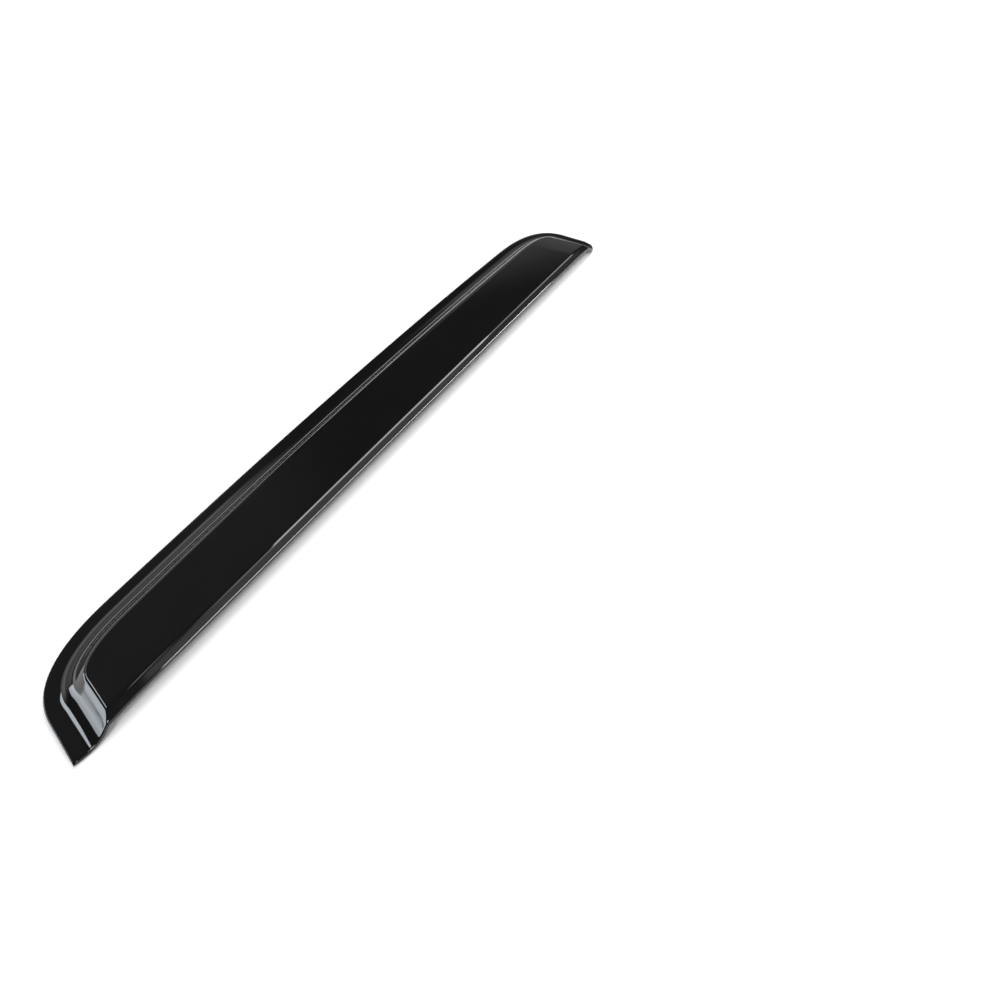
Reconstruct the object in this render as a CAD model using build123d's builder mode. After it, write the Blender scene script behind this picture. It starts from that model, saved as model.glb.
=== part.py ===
from build123d import *
from math import asin, atan, cos, degrees, radians, sin, sqrt, tan
import os

os.makedirs("parts", exist_ok=True)

# A stick-on rain deflector for a car's side window: one moulded acrylic sheet and the foam
# strips that hold it. It lies face up. X runs along the window, Y points to the roof edge of
# the window and Z points out of the car. All sizes are in millimetres and degrees.

# Plan
length = 750.0  # tip of the raked end to the square end
depth = 100.0  # lower edge to the highest point of the upper edge
upper_radius = 7200.0  # arc of the upper edge
upper_peak = 123.0  # highest point of that arc, from mid length towards the square end
rake = 13.0  # lean of the raked end
raked_leg_end = 44.5  # run of the raked end's corner curve down the end
raked_leg_top = 66.5  # run of the same curve along the upper edge
square_leg_end = 47.0  # run of the square end's corner curve down the end
square_leg_top = 81.0  # run of the same curve along the upper edge
toe_length = 50.0  # part of the lower edge that turns up to the raked tip
toe_rise = 4.0
square_tip_radius = 18.0  # rounded lower tip of the square end

# Section of the sheet
wall = 3.0
flange_width = 8.0  # flat band that is stuck to the window frame
cove_radius = 24.0  # hollow sweep from the flange up to the step
step_lean = 50.0  # lean of the step from upright
step_height = 15.5  # back of the flange to the crest, at mid length
crest_inner_radius = 2.0  # inside of the bend where the step meets the face
face_rise = 4.0  # flare of the face from the crest out to the crease
face_crown = 0.8  # bulge of the face between crest and crease
lip_width = 6.0  # strip below the crease that turns back towards the glass
lip_angle = 30.0
crease_inner_radius = 4.0
front_round = 1.1  # rounding of the rim on the outer side
back_round = 0.8  # rounding of the rim on the side of the glass

# Run of the face along the window: nearly straight, then rolled off towards both ends
face_bow = 1.0  # fall of the face from mid length to where the ends roll off
roll_radius = 240.0
raked_roll_start = 68.0  # start of the roll, from the tip of the raked end
square_roll_start = 66.0  # start of the roll, from the tip of the square end

# Foam strips on the back of the flange
tape_thickness = 1.1
tape_width = 6.0
tape_margin = 1.0  # bare rim between a strip and the edge of the flange
tape_end_gap = 14.0  # bare length at the tips, from the line of the lower edge

# Levels and positions that follow from these sizes
half = length / 2
lip_y = -depth / 2
upper_y = depth / 2
tip_y = lip_y + toe_rise
toe_radius = (toe_length**2 + toe_rise**2) / (2 * toe_rise)
back_z = tape_thickness
flange_top_z = back_z + wall
crest_z = back_z + step_height
step_slope = tan(radians(step_lean))
step_inset = flange_width + cove_radius * tan(radians((90 - step_lean) / 2))
crest_y = upper_y - step_inset - (crest_z - flange_top_z) * step_slope
crease_y = lip_y + lip_width
crease_z = crest_z + face_rise
raked_end = (-half, rake, raked_leg_end, raked_leg_top)
square_end = (half, 0, square_leg_end, square_leg_top)

# Stock around the part that later steps trim away
spare = 18.0
stock_y = lip_y - spare
stock_low_z = back_z - 6.0
stock_top_z = crease_z + 3.0
bend_gap = 0.5  # from the top of the hollow sweep to the cut that parts it from the crest's bend


def corner(tip_x, lean, leg_end, leg_top, inset):
    """Foot, start, pole and end of an end's edge and corner curve, moved in by inset."""
    side = 1 if tip_x > 0 else -1
    along = Vector(-side * sin(radians(lean)), cos(radians(lean)))
    inward = Vector(-side * cos(radians(lean)), -sin(radians(lean)))
    edge = Vector(tip_x, tip_y) + inward * inset
    foot = edge + along * ((stock_y - edge.Y) / along.Y)
    # The end's edge meets the arc of the upper edge, found in a few steps
    radius = upper_radius - inset
    centre_y = upper_y - upper_radius
    meet = edge
    for _ in range(20):
        arc_y = centre_y + sqrt(radius**2 - (meet.X - upper_peak)**2)
        meet = edge + along * ((arc_y - edge.Y) / along.Y)
    # The curve ends on that arc, and its pole is where the two tangents cross
    shorter = inset * tan(radians(90 - lean) / 2)
    end_x = meet.X - side * (leg_top - shorter)
    rise = sqrt(radius**2 - (end_x - upper_peak)**2)
    end = Vector(end_x, centre_y + rise)
    slope = (upper_peak - end_x) / rise
    run = (end.Y - edge.Y + slope * (edge.X - end.X)) / (along.Y - slope * along.X)
    pole = edge + along * run
    start = pole - along * (leg_end - shorter)
    return foot, start, pole, end


def outline(inset):
    """Plan outline moved in by inset on three sides, with stock below the lower edge."""
    foot_a, start_a, pole_a, end_a = corner(*raked_end, inset)
    foot_b, start_b, pole_b, end_b = corner(*square_end, inset)
    with BuildLine() as edge:
        Line(foot_a, start_a)
        Bezier(start_a, pole_a, end_a)
        RadiusArc(end_a, end_b, upper_radius - inset)
        Bezier(end_b, pole_b, start_b)
        Line(start_b, foot_b)
        Line(foot_b, foot_a)
    return edge.line


def face_path(side, roll_start):
    """Line that the face follows from mid length to one end."""
    bow_end = half - roll_start
    bow_radius = (bow_end**2 + face_bow**2) / (2 * face_bow)
    bow_angle = 2 * degrees(atan(face_bow / bow_end))
    roll_angle = degrees(roll_start / roll_radius)
    with BuildLine(Plane.XZ) as path:
        bow = JernArc((0, 0), (side, 0), bow_radius, -side * bow_angle)
        JernArc(bow @ 1, bow % 1, roll_radius, -side * roll_angle)
    return path.line


def is_step(face):
    normal = face.normal_at()
    return abs(normal.Z - sin(radians(step_lean))) < 0.08 and normal.Y > -0.05


def is_cap(face):
    return face.normal_at().Z > 0.1 and not is_step(face)


def form(skin):
    """The visor as a full block, its upper surface moved in by skin."""
    foot_z = flange_top_z - skin
    # Everything below the face, the crease and the lip
    with BuildSketch(Plane.YZ) as section:
        with BuildLine():
            face_slope = face_rise / (crest_y - crease_y)
            face_end = (upper_y + spare, crest_z - (upper_y + spare - crest_y) * face_slope)
            lip_end = (stock_y, crease_z - (crease_y - stock_y) * tan(radians(lip_angle)))
            SagittaArc((crease_y, crease_z), face_end, face_crown)
            Line((crease_y, crease_z), lip_end)
            floor_z = stock_low_z - 2 * spare
            Polyline(lip_end, (stock_y, floor_z), (face_end[0], floor_z), face_end)
        make_face()
        fillet(section.vertices().sort_by(Axis.Y)[-1], crease_inner_radius + wall)
        if skin:
            offset(amount=-skin, mode=Mode.REPLACE)
    with BuildPart() as under:
        sweep(section.sketch, path=face_path(-1, raked_roll_start))
        sweep(section.sketch, path=face_path(1, square_roll_start))
    # The same, ended at the lower edge, which is straight and turned up at the raked tip
    with BuildPart() as cap:
        add(under.part)
        with BuildSketch(Plane.XY.offset(stock_low_z)):
            with BuildLine():
                wide = half + spare
                low_y = lip_y - skin
                toe_angle = degrees(asin((toe_length + spare) / toe_radius))
                toe = JernArc((toe_length - half, low_y), (-1, 0), toe_radius, -toe_angle)
                top_y = upper_y + spare
                Polyline(toe @ 1, (-wide, top_y), (wide, top_y), (wide, low_y), toe @ 0)
            make_face()
        extrude(amount=stock_top_z - stock_low_z, mode=Mode.INTERSECT)
    with BuildPart() as step:
        # Leaning step along the upper edge and both ends
        for level in (stock_low_z, stock_top_z):
            inset = step_inset + (level - flange_top_z) * step_slope + skin / cos(radians(step_lean))
            with BuildSketch(Plane.XY.offset(level)):
                with BuildLine():
                    add(outline(inset))
                make_face()
        loft(ruled=True)
        # Flange, and the hollow sweep from it up to the step
        with BuildSketch(Plane.XY.offset(stock_low_z)):
            with BuildLine():
                add(outline(-2 * skin))
            make_face()
        extrude(amount=foot_z - stock_low_z)
        step_foot = step.faces().filter_by(is_step).edges()
        step_foot = step_foot.filter_by_position(Axis.Z, foot_z - 0.01, foot_z + 0.01)
        fillet(step_foot, cove_radius + skin)
    # The two bends of the step are made on two pieces, which join again in the plain part between
    cove_top_z = foot_z + (cove_radius + skin) * (1 - sin(radians(step_lean)))
    middle = Plane.XY.offset(cove_top_z + bend_gap)
    with BuildPart() as crown:
        # Bend at the crest, where the face caps the step
        add(step.part)
        split(bisect_by=middle, keep=Keep.TOP)
        add(cap.part, mode=Mode.INTERSECT)
        capped = crown.faces().filter_by(is_cap).edges()
        crest = crown.faces().filter_by(is_step).edges().filter_by(lambda edge: edge in capped)
        fillet(crest, crest_inner_radius + wall - skin)
    with BuildPart() as body:
        add(step.part)
        split(bisect_by=middle, keep=Keep.BOTTOM)
        add(cap.part, mode=Mode.INTERSECT)
        add(crown.part)
    return body.part


def end_strip(end):
    """Corners of the foam strip along the straight part of an end."""
    corners = []
    for inset in (tape_margin, tape_margin + tape_width):
        foot, start, _, _ = corner(*end, inset)
        share = (lip_y + tape_end_gap - foot.Y) / (start.Y - foot.Y)
        corners += [foot + (start - foot) * share, start]
    return corners[0], corners[1], corners[3], corners[2]


# Moulded sheet: the outer form less the same form one wall further in
with BuildPart() as visor:
    add(form(0))
    add(form(wall), mode=Mode.SUBTRACT)
    # Rounded lower tip of the square end
    with BuildSketch(Plane.XY.offset(stock_low_z)):
        with Locations((half - square_tip_radius, lip_y + square_tip_radius)):
            Rectangle(spare + square_tip_radius, spare + square_tip_radius, align=(Align.MIN, Align.MAX))
            Circle(square_tip_radius, mode=Mode.SUBTRACT)
    extrude(amount=stock_top_z - stock_low_z, mode=Mode.SUBTRACT)
    # Rounded rim
    for facing, radius in ((1, front_round), (-1, back_round)):
        rim = visor.faces().filter_by(lambda face: abs(face.normal_at().Z) < 0.01).edges()
        side_edges = visor.faces().filter_by(lambda face: facing * face.normal_at().Z > 0.01).edges()
        fillet(rim.filter_by(lambda edge: edge in side_edges), radius)
visor.part.label = "visor"
export_step(visor.part, "parts/visor.step")

# Long foam strip behind the upper flange
with BuildPart() as upper_tape:
    with BuildSketch():
        with BuildLine():
            near_edge = tape_margin
            far_edge = tape_margin + tape_width
            first = RadiusArc(corner(*raked_end, near_edge)[3], corner(*square_end, near_edge)[3],
                              upper_radius - near_edge)
            second = RadiusArc(corner(*raked_end, far_edge)[3], corner(*square_end, far_edge)[3],
                               upper_radius - far_edge)
            Line(first @ 0, second @ 0)
            Line(first @ 1, second @ 1)
        make_face()
    extrude(amount=tape_thickness)
upper_tape.part.label = "upper_tape"
export_step(upper_tape.part, "parts/upper_tape.step")

# Short foam strips behind the flange of each end
with BuildPart() as raked_end_tape:
    with BuildSketch():
        with BuildLine():
            Polyline(*end_strip(raked_end), close=True)
        make_face()
    extrude(amount=tape_thickness)
raked_end_tape.part.label = "raked_end_tape"
export_step(raked_end_tape.part, "parts/raked_end_tape.step")

with BuildPart() as square_end_tape:
    with BuildSketch():
        with BuildLine():
            Polyline(*end_strip(square_end), close=True)
        make_face()
    extrude(amount=tape_thickness)
square_end_tape.part.label = "square_end_tape"
export_step(square_end_tape.part, "parts/square_end_tape.step")
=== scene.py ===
from collections import namedtuple
from math import cos, pi, radians, sin, sqrt, tan

import bpy
import numpy as np
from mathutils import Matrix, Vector


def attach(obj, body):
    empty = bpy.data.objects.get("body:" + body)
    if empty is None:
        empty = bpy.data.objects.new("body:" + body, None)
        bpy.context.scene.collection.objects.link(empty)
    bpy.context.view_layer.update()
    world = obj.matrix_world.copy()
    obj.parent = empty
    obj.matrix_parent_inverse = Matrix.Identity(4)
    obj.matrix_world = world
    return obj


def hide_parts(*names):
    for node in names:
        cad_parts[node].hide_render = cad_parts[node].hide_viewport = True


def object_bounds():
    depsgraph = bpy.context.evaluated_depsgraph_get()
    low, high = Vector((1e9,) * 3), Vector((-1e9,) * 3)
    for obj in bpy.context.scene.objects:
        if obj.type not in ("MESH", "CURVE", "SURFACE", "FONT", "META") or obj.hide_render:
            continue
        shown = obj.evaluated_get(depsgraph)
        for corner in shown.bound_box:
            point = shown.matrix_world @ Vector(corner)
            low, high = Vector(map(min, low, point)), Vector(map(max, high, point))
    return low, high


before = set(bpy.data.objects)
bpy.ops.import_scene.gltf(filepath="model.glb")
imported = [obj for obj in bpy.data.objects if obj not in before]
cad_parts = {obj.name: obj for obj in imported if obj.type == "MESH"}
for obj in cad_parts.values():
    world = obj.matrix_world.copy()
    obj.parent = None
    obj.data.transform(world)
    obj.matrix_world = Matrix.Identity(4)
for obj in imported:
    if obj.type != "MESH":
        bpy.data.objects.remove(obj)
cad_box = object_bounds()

# The visor's outline, in millimetres and degrees, as in the solid that the smooth sheet replaces
LENGTH = 750.0
DEPTH = 100.0
UPPER_RADIUS = 7200.0  # arc of the upper edge
UPPER_PEAK = 123.0  # place of that arc's highest point along the window
TOE_LENGTH = 50.0  # part of the lower edge that turns up to the raked tip
TOE_RISE = 4.0
SQUARE_TIP_RADIUS = 18.0
# An end: its side along X, the lean of its edge, and how far its corner's curve reaches down that edge
# and along the upper edge
End = namedtuple("End", "side lean leg_end leg_top")
RAKED = End(-1, 13.0, 44.5, 66.5)
SQUARE = End(1, 0.0, 47.0, 81.0)

# Its section, in the same units
WALL = 3.0
BACK_LEVEL = 1.1  # back of the flange, on the foam strips
FLANGE_WIDTH = 8.0
COVE_RADIUS = 24.0
STEP_LEAN = 50.0
STEP_HEIGHT = 15.5
CREST_RADIUS = 5.0  # bend between step and face at both ends
CREST_WIDE_RADIUS = 16.0  # the same bend along most of the upper edge and round the square corner
CREST_WIDENS = (2.2, 2.6)  # places between which it widens from the raked end, counted as in plan()
CREST_NARROWS = (4.65, 4.0)  # places between which it widens from the square end
FACE_RISE = 4.0
FACE_CROWN = 0.8
FACE_SPARE = 18.0  # the arc of the face is drawn this far past the upper edge
LIP_WIDTH = 6.0
LIP_ANGLE = 30.0
CREASE_RADIUS = 7.0
FRONT_ROUND = 1.1
BACK_ROUND = 0.8

# The face's run along the window
FACE_BOW = 1.0
ROLL_RADIUS = 240.0
ROLL_STARTS = (68.0, 66.0)  # from the raked and from the square tip

# Rows and columns of the sheet's mesh
STRETCHES = 5  # raked edge, corner, upper edge, corner and square edge
UPPER_STRETCH = 2  # number of the upper edge among them, from 0
LIP_ROWS = 4
CREASE_ROWS = 8
FACE_ROWS = 9
CORNER_ROWS = 12
TOP_COLUMNS = 140
COVE_ROWS = 24
CREST_ROWS = 20
BLEND_ROWS = 4
RIM_ROWS = 5
SUPPORT = 0.4  # extra row this far from the start of a bend
RAKED_BLOCK = 60.0  # the inner block of the face starts this far from the ends and the upper edge
SQUARE_BLOCK = 62.0
TOP_BLOCK = 45.0
CREST_PASSES = 30  # repeats after which the crest's place has settled
PLACE_PASSES = 6  # the same for the columns at the ends
MM_PER_METRE = 1000

# Materials: colours at both ends of a noise, and the noises' scales in waves per metre
NOISE_DETAIL = 3.0
NOISE_MIDDLE = (0.35, 0.65)  # most of a noise lies between these
ACRYLIC_IOR = 1.49
ACRYLIC_COLOURS = (0.004, 0.004, 0.0045, 1.0), (0.006, 0.006, 0.0062, 1.0)
ACRYLIC_ROUGHNESS = (0.03, 0.06)
HAZE_SCALE = 35.0
WAVE_SCALE = 22.0
WAVE_DETAIL = 1.0
WAVE_STRENGTH = 0.15
WAVE_DISTANCE = 0.0002
FOAM_COLOURS = (0.05, 0.05, 0.053, 1.0), (0.11, 0.11, 0.115, 1.0)
FOAM_ROUGHNESS = (0.6, 0.9)
PORE_SCALE = 1800.0
FILM_COLOURS = (0.32, 0.02, 0.018, 1.0), (0.40, 0.03, 0.025, 1.0)
FILM_SCALE = 60.0
FILM_FACING = -0.5  # the film is where the normal points further down than this

# Camera, in metres, and the point of the floor in the middle of the picture
CAMERA_PLACE = Vector((-0.3413, -0.3379, 0.4111))
CAMERA_AIM = Vector((-0.0491, -0.1609, 0.0))
CAMERA_LENS = 22.55
CAMERA_SENSOR = 36.0
CAMERA_NEAR = 0.01

# Floor
FLOOR_SIZE = 60.0
FLOOR_COLOUR = (0.92, 0.92, 0.92, 1.0)
FLOOR_GLOW = 0.03  # lifts the open floor to white where it is seen

# Softboxes: bearing round the visor (0 behind the camera, -90 to its left, 180 away from it) and
# elevation of the middle, width and height as seen from the visor, all in degrees, radiance and colour
Softbox = namedtuple("Softbox", "name bearing elevation width height radiance colour")
WHITE = (1.0, 1.0, 1.0)
COOL_WHITE = (0.92, 1.0, 1.08)
SOFTBOXES = (
    Softbox("key", 5, 50, 16, 16, 22.0, WHITE),
    Softbox("left_strip", -84, 8, 26, 18, 5.0, COOL_WHITE),
    Softbox("left_spot", -98, 41, 12, 6, 9.0, COOL_WHITE),
    Softbox("back_right", 148, 60, 20, 28, 8.0, WHITE),
    Softbox("right_strip", 86, 5, 48, 10, 38.0, WHITE),
)
SOFTBOX_DISTANCE = 15.0

# Room around the visor: dark, with soft glows that are placed as the softboxes are and fade to their edges
ROOM_DARK = 0.05
Glow = namedtuple("Glow", "bearing elevation width height radiance")
GLOWS = (
    Glow(-121, 33, 54, 14, 1.2),
    Glow(-121, 20, 54, 36, 0.7),
    Glow(-128, 46, 60, 24, 0.1),
    Glow(180, 12, 40, 34, 0.33),
    Glow(150, 41, 22, 16, 4.0),
    Glow(92, 57, 84, 34, 1.0),
    Glow(112, 72, 50, 14, 3.0),
    Glow(0, 90, 1200, 14, 3.0),  # full strength all round: a round patch overhead
    Glow(130, 37, 30, 26, 0.3),
)
GLOW_CORE = 0.6  # share of a glow's width and height that is at full strength

# Sizes that follow from these
half = LENGTH / 2
lip_y = -DEPTH / 2
upper_y = DEPTH / 2
tip_y = lip_y + TOE_RISE
toe_x = TOE_LENGTH - half
toe_radius = (TOE_LENGTH**2 + TOE_RISE**2) / (2 * TOE_RISE)
arc_centre = complex(UPPER_PEAK, upper_y - UPPER_RADIUS)
toe_centre = complex(toe_x, lip_y + toe_radius)
flange_level = BACK_LEVEL + WALL
crest_level = BACK_LEVEL + STEP_HEIGHT
step_slope = radians(90 - STEP_LEAN)
step_run = (crest_level - flange_level) / tan(step_slope)
crest_inset = FLANGE_WIDTH + COVE_RADIUS * tan(step_slope / 2) + step_run
crest_y = upper_y - crest_inset
crease_y = lip_y + LIP_WIDTH
crease_level = crest_level + FACE_RISE

bend_rows = LIP_ROWS + CREASE_ROWS + 2
end_columns = bend_rows + FACE_ROWS - 1
side_columns = end_columns + CORNER_ROWS
top_columns = TOP_COLUMNS + 2 * CORNER_ROWS
columns = 2 * side_columns + top_columns + 1

scene = bpy.context.scene


def dot(a, b):
    """Dot product of plane vectors that are held as complex numbers."""
    return (a * np.conj(b)).real


# Section of the face at mid length. Complex numbers hold y and the level above the glass.
lip_way = complex(cos(radians(LIP_ANGLE)), sin(radians(LIP_ANGLE)))
crease = complex(crease_y, crease_level)
face_reach = upper_y + FACE_SPARE - crest_y
face_end = complex(crest_y + face_reach, crest_level - face_reach * FACE_RISE / (crest_y - crease_y))
face_chord = face_end - crease
face_radius = (abs(face_chord)**2 / 4 + FACE_CROWN**2) / (2 * FACE_CROWN)
face_centre = (crease + face_end) / 2 - 1j * face_chord / abs(face_chord) * (face_radius - FACE_CROWN)


def crease_centre():
    """Centre of the crease's bend, which touches the arc of the face and the line of the lip."""
    below = crease - 1j * lip_way * CREASE_RADIUS - face_centre
    along = dot(below, lip_way)
    root = sqrt(along**2 - abs(below)**2 + (face_radius - CREASE_RADIUS)**2)
    return face_centre + below + lip_way * min(root - along, -root - along, key=abs)


bend_centre = crease_centre()
bend_way = (bend_centre - face_centre) / abs(bend_centre - face_centre)


def crease_ends(skin):
    """The y at which the crease's bend meets the lip and the face."""
    radius = CREASE_RADIUS - skin
    return bend_centre.real + radius * (1j * lip_way).real, bend_centre.real + radius * bend_way.real


def arc_level(y, centre, radius):
    """Level of the upper half of a circle over y."""
    return centre.imag + np.sqrt(np.maximum(radius**2 - (y - centre.real)**2, 0))


def face_level(p, skin):
    """Level of face, crease and lip over plan points, moved in by skin."""
    x, y = p.real, p.imag
    low, high = crease_ends(skin)
    lip = crease_level + (y - crease_y) * tan(radians(LIP_ANGLE)) - skin / cos(radians(LIP_ANGLE))
    bend = arc_level(y, bend_centre, CREASE_RADIUS - skin)
    face = arc_level(y, face_centre, face_radius - skin)
    level = np.where(y > high, face, np.where(y > low, bend, lip))
    # Slight bow along the window, then the roll towards the end
    bow_end = half - np.where(x < 0, *ROLL_STARTS)
    bow_radius = (bow_end**2 + FACE_BOW**2) / (2 * FACE_BOW)
    turn = 2 * np.arctan(FACE_BOW / bow_end)
    lead = bow_radius - ROLL_RADIUS
    far = np.abs(x)
    bow = np.sqrt((bow_radius + level)**2 - far**2) - bow_radius
    reach = np.maximum((ROLL_RADIUS + level)**2 - (far - lead * np.sin(turn))**2, 0)
    roll = lead * np.cos(turn) - bow_radius + np.sqrt(reach)
    return np.where(far <= (bow_radius + level) * np.sin(turn), bow, roll)


def end_line(end, inset):
    """A point and the direction of an end's edge, moved in by inset."""
    lean = radians(end.lean)
    along = complex(-end.side * sin(lean), cos(lean))
    return complex(end.side * half, tip_y) + along * 1j * end.side * inset, along


def corner(end, inset):
    """Start, pole and end of the curve that joins an end's edge to the upper edge."""
    edge, along = end_line(end, inset)
    radius = UPPER_RADIUS - inset
    gap = edge - arc_centre
    run = dot(gap, along)
    meet = edge + along * (np.sqrt(run**2 - np.abs(gap)**2 + radius**2) - run)
    shorter = inset * tan(radians(90 - end.lean) / 2)
    stop_x = meet.real - end.side * (end.leg_top - shorter)
    rise = np.sqrt(radius**2 - (stop_x - UPPER_PEAK)**2)
    stop = stop_x + 1j * (arc_centre.imag + rise)
    slope = (UPPER_PEAK - stop_x) / rise
    run = (stop.imag - edge.imag + slope * (edge.real - stop.real)) / (along.imag - slope * along.real)
    pole = edge + along * run
    return pole - along * (end.leg_end - shorter), pole, stop


def lower_edge(x, rim):
    """The y of the lower edge, moved in by rim."""
    return toe_centre.imag - np.sqrt((toe_radius - rim)**2 - np.minimum(x - toe_x, 0)**2)


def foot(end, inset, rim):
    """Where an end's edge, moved in by inset, meets the lower edge, moved in by rim."""
    edge, along = end_line(end, inset)
    if end is RAKED:
        gap = edge - toe_centre
        run = dot(gap, along)
        return edge - along * (run + np.sqrt(run**2 - np.abs(gap)**2 + (toe_radius - rim)**2))
    corner_inset = np.maximum(SQUARE_TIP_RADIUS - inset, 0)
    drop = np.sqrt(np.maximum((SQUARE_TIP_RADIUS - rim)**2 - corner_inset**2, 0))
    return edge.real + 1j * (lip_y + SQUARE_TIP_RADIUS - drop)


def curve(start, pole, stop, share):
    """Points at shares of a curve from start to stop that bends towards its pole."""
    return (1 - share)**2 * start + 2 * share * (1 - share) * pole + share**2 * stop


def plan(place, inset, rim):
    """Plan points of the columns round the raked end, the upper edge and the square end.

    The whole part of place says which stretch a column is on: raked edge, corner, upper edge,
    corner or square edge. The rest is its share of that stretch.
    """
    start_a, pole_a, stop_a = corner(RAKED, inset)
    start_b, pole_b, stop_b = corner(SQUARE, inset)
    foot_a = foot(RAKED, inset, rim)
    foot_b = foot(SQUARE, inset, rim)
    stretch = np.minimum(place.astype(int), STRETCHES - 1)
    share = place - stretch
    x = stop_a.real + (stop_b.real - stop_a.real) * np.where(stretch == UPPER_STRETCH, share, 0)
    upper = x + 1j * (arc_centre.imag + np.sqrt((UPPER_RADIUS - inset)**2 - (x - UPPER_PEAK)**2))
    return np.choose(stretch, [
        foot_a + (start_a - foot_a) * share,
        curve(start_a, pole_a, stop_a, share),
        upper,
        curve(stop_b, pole_b, start_b, share),
        start_b + (foot_b - start_b) * share,
    ])


def smooth(value, start, stop):
    """Smooth change from 0 at start to 1 at stop."""
    share = np.clip((value - start) / (stop - start), 0, 1)
    return share**2 * (3 - 2 * share)


def crest_radii(place, skin):
    """Radius of the crest's bend in each column."""
    wide = smooth(place, *CREST_WIDENS) * smooth(place, *CREST_NARROWS)
    return CREST_RADIUS + (CREST_WIDE_RADIUS - CREST_RADIUS) * wide - skin


Crest = namedtuple("Crest", "step_inset step_level inset level slope radius")


def crest_bend(place, skin, rim):
    """Where the step leaves the cove and where the crest's bend starts, in each column."""
    cove = COVE_RADIUS + skin
    step_inset = FLANGE_WIDTH + cove * sin(step_slope)
    step_level = flange_level - skin + cove * (1 - cos(step_slope))
    inset = np.full(columns, crest_inset)
    for _ in range(CREST_PASSES):
        inset = step_inset + (face_level(plan(place, inset, rim), skin) - step_level) / tan(step_slope)
    rise = face_level(plan(place, inset + 1, rim), skin) - face_level(plan(place, inset, rim), skin)
    slope = np.arctan(rise)
    radius = crest_radii(place, skin)
    inset = inset - radius * np.tan((step_slope - slope) / 2) * cos(step_slope)
    level = step_level + (inset - step_inset) * tan(step_slope)
    return Crest(step_inset, step_level, inset, level, slope, radius)


def face_inset(crest):
    """Where the face starts behind the crest's bend."""
    return crest.inset + crest.radius * (sin(step_slope) - np.sin(crest.slope)) + SUPPORT


def crease_rows(low, skin):
    """The y of the rows from the lower edge, at low, over lip and crease to the start of the face."""
    lip_end, face_start = crease_ends(skin)
    radius = CREASE_RADIUS - skin
    first, last = np.arcsin((np.array([lip_end, face_start]) - bend_centre.real) / radius)
    lip = [low + (lip_end - SUPPORT - low) * share for share in np.linspace(0, 1, LIP_ROWS)]
    bend = bend_centre.real + radius * np.sin(np.linspace(first, last, CREASE_ROWS + 1))
    return np.array(lip + [np.full_like(low, y) for y in (*bend, face_start + SUPPORT)])


def column_places(skin, rim):
    """Places of the columns, with those on the ends set to run on as the rows of lip and crease."""
    place = np.concatenate([
        np.linspace(0, 1, end_columns + 1)[:-1],
        np.linspace(1, 2, 2 * CORNER_ROWS + 1)[:-1],
        np.linspace(2, 3, TOP_COLUMNS + 1)[:-1],
        np.linspace(3, 4, 2 * CORNER_ROWS + 1)[:-1],
        np.linspace(4, 5, end_columns + 1),
    ])
    first = np.arange(end_columns + 1)
    for _ in range(PLACE_PASSES):
        inset = face_inset(crest_bend(place, skin, rim))
        for end, own in ((RAKED, first), (SQUARE, columns - 1 - first)):
            low = foot(end, inset[own], rim).imag
            high = corner(end, inset[own])[0].imag
            y = low.copy()
            y[:bend_rows] = np.diagonal(crease_rows(low, skin))
            rest = slice(bend_rows - 1, None)
            share = np.linspace(0, 1, FACE_ROWS + 1)
            y[rest] = y[bend_rows - 1] + (high[rest] - y[bend_rows - 1]) * share
            share = (y - low) / (high - low)
            place[own] = share if end is RAKED else STRETCHES - share
    return place


def sheet_side(skin, rim):
    """Rows of points on one side of the sheet: a band round three edges and the block inside it."""
    place = column_places(skin, rim)
    crest = crest_bend(place, skin, rim)
    cove = COVE_RADIUS + skin
    foot_level = flange_level - skin
    lines = [(inset, foot_level) for inset in (rim, (rim + FLANGE_WIDTH) / 2, FLANGE_WIDTH - SUPPORT)]
    for turn in np.linspace(0, step_slope, COVE_ROWS + 1):
        lines.append((FLANGE_WIDTH + cove * sin(turn), foot_level + cove * (1 - cos(turn))))
    lines.append(((crest.step_inset + crest.inset) / 2, (crest.step_level + crest.level) / 2))
    for share in np.linspace(0, 1, CREST_ROWS + 1):
        turn = step_slope + share * (crest.slope - step_slope)
        lines.append((
            crest.inset + crest.radius * (sin(step_slope) - np.sin(turn)),
            crest.level + crest.radius * (np.cos(turn) - cos(step_slope)),
        ))
    rows = []
    for inset, level in lines:
        p = plan(place, inset + np.zeros(columns), rim)
        rows.append(np.stack([p.real, p.imag, level + np.zeros(columns)], 1))
    # Inner block, in columns across the face and rows along it
    face_start = plan(place, face_inset(crest), rim)
    along = face_start.real[side_columns:side_columns + top_columns + 1]
    along = (along - along[0]) / (along[-1] - along[0])
    x = RAKED_BLOCK - half + along * (LENGTH - RAKED_BLOCK - SQUARE_BLOCK)
    bend = crease_rows(lower_edge(x, rim), skin)
    top = arc_centre.imag + np.sqrt((UPPER_RADIUS - TOP_BLOCK)**2 - (x - UPPER_PEAK)**2)
    shares = np.linspace(0, 1, side_columns + 2 - bend_rows)[1:]
    block = x + 1j * np.concatenate([bend, [bend[-1] + (top - bend[-1]) * share for share in shares]])
    rim_of_block = np.concatenate([block[:, 0], block[-1, 1:], block[::-1, -1][1:]])
    for share in np.linspace(0, 1, BLEND_ROWS + 1):
        p = face_start + (rim_of_block - face_start) * share
        rows.append(np.stack([p.real, p.imag, face_level(p, skin)], 1))
    inside = block[:-1, 1:-1]
    inside = np.stack([inside.real, inside.imag, face_level(inside, skin)], 2)
    return np.array(rows), inside


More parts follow.
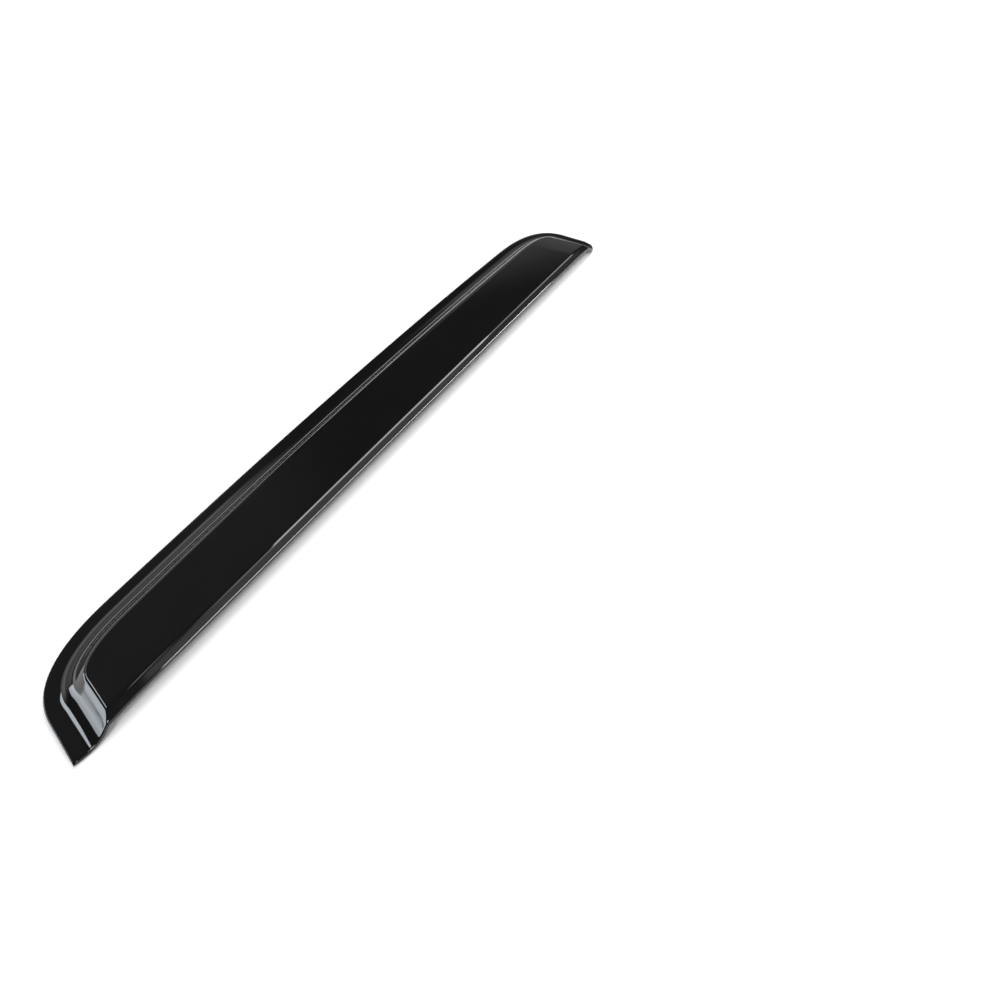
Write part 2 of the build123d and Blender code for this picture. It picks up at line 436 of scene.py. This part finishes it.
def side_numbers(row_count):
    """Vertex numbers of the band and of the block, which share the band's last row."""
    band = np.arange(row_count * columns).reshape(row_count, columns)
    block = np.empty((side_columns + 1, top_columns + 1), int)
    block[:, 0] = band[-1, :side_columns + 1]
    block[-1, :] = band[-1, side_columns:side_columns + top_columns + 1]
    block[:, -1] = band[-1, ::-1][:side_columns + 1]
    block[:-1, 1:-1] = band.size + np.arange(side_columns * (top_columns - 1)).reshape(side_columns, -1)
    return band, block


def quads(numbers):
    """Quads between the rows and columns of a grid of vertex numbers."""
    corners = numbers[:-1, :-1], numbers[:-1, 1:], numbers[1:, 1:], numbers[1:, :-1]
    return np.stack(corners, -1).reshape(-1, 4)


def flat(band, inside):
    """The points of a side in one list, in the order of side_numbers()."""
    return np.concatenate([band.reshape(-1, 3), inside.reshape(-1, 3)])


def rim_arc(start, edge, down):
    """Rows of the rounded rim from the face of the sheet to its upright edge."""
    reach = np.linalg.norm(edge - start, axis=1, keepdims=True)
    stop = edge + reach * np.array([0, 0, down])
    turn = np.sum((edge - start) * (stop - edge), axis=1, keepdims=True) / reach**2
    weight = np.sqrt((1 + turn) / 2)
    rows = []
    for share in np.linspace(0, 1, RIM_ROWS + 1)[1:]:
        a, b, c = (1 - share)**2, 2 * weight * share * (1 - share), share**2
        rows.append((a * start + b * edge + c * stop) / (a + b + c))
    return rows


def sheet_mesh():
    """Points in metres and quads of the closed sheet."""
    points, faces, loops, arcs = [], [], [], []
    count = 0
    for skin, rim, down in ((0.0, FRONT_ROUND, -1.0), (WALL, BACK_ROUND, 1.0)):
        band, inside = sheet_side(skin, rim)
        band_numbers, block_numbers = side_numbers(len(band))
        side = np.concatenate([quads(band_numbers)[:, ::-1], quads(block_numbers)]) + count
        faces.append(side[:, ::-1] if skin else side)
        loop = np.concatenate([
            band_numbers[0],
            band_numbers[1:, -1],
            block_numbers[0, -2:0:-1],
            band_numbers[:0:-1, 0],
        ])
        side_points = flat(band, inside)
        arcs.append(rim_arc(side_points[loop], flat(*sheet_side(skin, 0.0))[loop], down))
        loops.append(loop + count)
        points.append(side_points)
        count += len(side_points)
    ring = [loops[0]]
    for row in arcs[0] + arcs[1][::-1]:
        ring.append(count + np.arange(len(row)))
        points.append(row)
        count += len(row)
    ring = np.array(ring + [loops[1]])
    faces.append(quads(np.concatenate([ring, ring[:, :1]], 1)))
    return np.concatenate(points) / MM_PER_METRE, np.concatenate(faces)


def build_visor(material):
    """The smooth sheet that stands in for the solid visor."""
    points, faces = sheet_mesh()
    mesh = bpy.data.meshes.new("visor_sheet")
    mesh.from_pydata(points.tolist(), [], faces.tolist())
    mesh.shade_smooth()
    mesh.materials.append(material)
    sheet = bpy.data.objects.new("visor_sheet", mesh)
    scene.collection.objects.link(sheet)
    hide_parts("visor")
    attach(sheet, "root")


def new_material(name):
    """A material, its node tree, and the output node, which is all that the tree holds."""
    material = bpy.data.materials.new(name)
    material.use_nodes = True
    tree = material.node_tree
    tree.nodes.clear()
    return material, tree, tree.nodes.new("ShaderNodeOutputMaterial")


def put(tree, value, socket):
    """Links an output to a socket, or sets the socket to a plain number or colour."""
    if isinstance(value, bpy.types.NodeSocket):
        tree.links.new(value, socket)
    else:
        socket.default_value = value


def calculate(tree, operation, *values):
    """A Math node on outputs and plain numbers."""
    node = tree.nodes.new("ShaderNodeMath")
    node.operation = operation
    for socket, value in zip(node.inputs, values):
        put(tree, value, socket)
    return node.outputs["Value"]


def map_range(tree, value, old, new, steps="LINEAR"):
    """Maps the range old of a value to the range new."""
    node = tree.nodes.new("ShaderNodeMapRange")
    node.interpolation_type = steps
    for name, number in zip(("From Min", "From Max", "To Min", "To Max"), (*old, *new)):
        node.inputs[name].default_value = number
    tree.links.new(value, node.inputs["Value"])
    return node.outputs["Result"]


def noise(tree, where, scale, detail=NOISE_DETAIL):
    """A noise over the surface, around 0.5."""
    node = tree.nodes.new("ShaderNodeTexNoise")
    node.inputs["Scale"].default_value = scale
    node.inputs["Detail"].default_value = detail
    tree.links.new(where, node.inputs["Vector"])
    return node.outputs["Fac"]


def mix_colours(tree, share, first, second):
    """Mixes two colours, which are plain or come from an output."""
    node = tree.nodes.new("ShaderNodeMix")
    node.data_type = "RGBA"
    put(tree, first, node.inputs["A"])
    put(tree, second, node.inputs["B"])
    tree.links.new(share, node.inputs["Factor"])
    return node.outputs["Result"]


def smoked_acrylic():
    """Near-black moulded acrylic: high gloss, with a faint haze and faint waves."""
    material, tree, out = new_material("smoked_acrylic_gloss")
    where = tree.nodes.new("ShaderNodeTexCoord").outputs["Object"]
    shader = tree.nodes.new("ShaderNodeBsdfPrincipled")
    shader.inputs["IOR"].default_value = ACRYLIC_IOR
    haze = noise(tree, where, HAZE_SCALE)
    tree.links.new(map_range(tree, haze, NOISE_MIDDLE, ACRYLIC_ROUGHNESS), shader.inputs["Roughness"])
    tree.links.new(mix_colours(tree, haze, *ACRYLIC_COLOURS), shader.inputs["Base Color"])
    waves = tree.nodes.new("ShaderNodeBump")
    waves.inputs["Strength"].default_value = WAVE_STRENGTH
    waves.inputs["Distance"].default_value = WAVE_DISTANCE
    tree.links.new(noise(tree, where, WAVE_SCALE, WAVE_DETAIL), waves.inputs["Height"])
    tree.links.new(waves.outputs["Normal"], shader.inputs["Normal"])
    tree.links.new(shader.outputs["BSDF"], out.inputs["Surface"])
    return material


def foam_tape():
    """Dull grey foam with fine pores, and the red peel-off film on the face towards the glass."""
    material, tree, out = new_material("foam_tape_film")
    where = tree.nodes.new("ShaderNodeTexCoord").outputs["Object"]
    shader = tree.nodes.new("ShaderNodeBsdfPrincipled")
    pores = noise(tree, where, PORE_SCALE)
    foam = mix_colours(tree, pores, *FOAM_COLOURS)
    film = mix_colours(tree, noise(tree, where, FILM_SCALE), *FILM_COLOURS)
    facing = tree.nodes.new("ShaderNodeSeparateXYZ")
    tree.links.new(tree.nodes.new("ShaderNodeNewGeometry").outputs["Normal"], facing.inputs["Vector"])
    is_film = calculate(tree, "LESS_THAN", facing.outputs["Z"], FILM_FACING)
    tree.links.new(mix_colours(tree, is_film, foam, film), shader.inputs["Base Color"])
    tree.links.new(map_range(tree, pores, NOISE_MIDDLE, FOAM_ROUGHNESS), shader.inputs["Roughness"])
    tree.links.new(shader.outputs["BSDF"], out.inputs["Surface"])
    return material


def make_camera():
    """Camera at the photograph's viewing angle."""
    data = bpy.data.cameras.new("camera")
    data.lens = CAMERA_LENS
    data.sensor_width = CAMERA_SENSOR
    data.clip_start = CAMERA_NEAR
    camera = bpy.data.objects.new("camera", data)
    camera.location = CAMERA_PLACE
    camera.rotation_mode = "QUATERNION"
    camera.rotation_quaternion = (CAMERA_AIM - CAMERA_PLACE).to_track_quat("-Z", "Y")
    scene.collection.objects.link(camera)
    scene.camera = camera


def seen_rays(tree):
    """1 for rays of the camera and for those that mirrors and glass send on, else 0."""
    rays = tree.nodes.new("ShaderNodeLightPath")
    total = rays.outputs["Is Camera Ray"]
    for name in ("Is Glossy Ray", "Is Transmission Ray"):
        total = calculate(tree, "MAXIMUM", total, rays.outputs[name])
    return total


def make_floor():
    """White floor that keeps the visor's shadow."""
    material, tree, out = new_material("floor_white")
    paint = tree.nodes.new("ShaderNodeBsdfDiffuse")
    paint.inputs["Color"].default_value = FLOOR_COLOUR
    glow = tree.nodes.new("ShaderNodeEmission")
    strength = calculate(tree, "MULTIPLY", seen_rays(tree), FLOOR_GLOW)
    tree.links.new(strength, glow.inputs["Strength"])
    both = tree.nodes.new("ShaderNodeAddShader")
    tree.links.new(paint.outputs["BSDF"], both.inputs[0])
    tree.links.new(glow.outputs["Emission"], both.inputs[1])
    tree.links.new(both.outputs["Shader"], out.inputs["Surface"])
    reach = FLOOR_SIZE / 2
    mesh = bpy.data.meshes.new("floor")
    corners = [(-reach, -reach, 0), (reach, -reach, 0), (reach, reach, 0), (-reach, reach, 0)]
    mesh.from_pydata(corners, [], [(0, 1, 2, 3)])
    mesh.materials.append(material)
    floor = bpy.data.objects.new("floor", mesh)
    scene.collection.objects.link(floor)


def view_axes():
    """Level directions away from the camera and to its right."""
    away = CAMERA_AIM - CAMERA_PLACE
    away = Vector((away.x, away.y, 0)).normalized()
    return away, Vector((away.y, -away.x, 0))


def make_softbox(box):
    """An area lamp that faces the middle of the visor."""
    away, right = view_axes()
    bearing, elevation = radians(box.bearing), radians(box.elevation)
    way = (right * sin(bearing) - away * cos(bearing)) * cos(elevation) + Vector((0, 0, sin(elevation)))
    data = bpy.data.lights.new(box.name, "AREA")
    data.shape = "RECTANGLE"
    data.size = 2 * SOFTBOX_DISTANCE * tan(radians(box.width) / 2)
    data.size_y = 2 * SOFTBOX_DISTANCE * tan(radians(box.height) / 2)
    data.energy = box.radiance * pi * data.size * data.size_y
    data.color = box.colour
    lamp = bpy.data.objects.new(box.name, data)
    lamp.location = (cad_box[0] + cad_box[1]) / 2 + way * SOFTBOX_DISTANCE
    lamp.rotation_mode = "QUATERNION"
    lamp.rotation_quaternion = (-way).to_track_quat("-Z", "Y")
    scene.collection.objects.link(lamp)


def towards(tree, where, way):
    """How far a direction points along a fixed one, from -1 to 1."""
    node = tree.nodes.new("ShaderNodeVectorMath")
    node.operation = "DOT_PRODUCT"
    node.inputs[1].default_value = way
    tree.links.new(where, node.inputs[0])
    return node.outputs["Value"]


def window(tree, value, middle, width):
    """1 around the middle of a range, falling smoothly to 0 at its ends."""
    off = calculate(tree, "ABSOLUTE", calculate(tree, "SUBTRACT", value, middle))
    return map_range(tree, off, (width / 2, width / 2 * GLOW_CORE), (0.0, 1.0), "SMOOTHSTEP")


def make_world():
    """A dark room with soft glows."""
    world = bpy.data.worlds.new("room")
    scene.world = world
    world.use_nodes = True
    tree = world.node_tree
    tree.nodes.clear()
    out = tree.nodes.new("ShaderNodeOutputWorld")
    back = tree.nodes.new("ShaderNodeBackground")
    where = tree.nodes.new("ShaderNodeTexCoord").outputs["Generated"]
    away, right = view_axes()
    side = calculate(tree, "ARCTAN2", towards(tree, where, right), towards(tree, where, away))
    elevation = calculate(tree, "ARCSINE", towards(tree, where, (0, 0, 1)))
    light = ROOM_DARK
    for glow in GLOWS:
        # Side is 0 away from the camera, where bearing is 180
        middle = radians((360 - glow.bearing) % 360 - 180)
        across = window(tree, side, middle, radians(glow.width))
        up = window(tree, elevation, radians(glow.elevation), radians(glow.height))
        shape = calculate(tree, "MULTIPLY", across, up)
        light = calculate(tree, "ADD", light, calculate(tree, "MULTIPLY", shape, glow.radiance))
    tree.links.new(light, back.inputs["Strength"])
    tree.links.new(back.outputs["Background"], out.inputs["Surface"])


build_visor(smoked_acrylic())
foam = foam_tape()
for name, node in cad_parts.items():
    if name != "visor":
        node.data.materials[0] = foam

make_camera()
make_floor()
make_world()
for box in SOFTBOXES:
    make_softbox(box)

scene.view_settings.view_transform = "Standard"
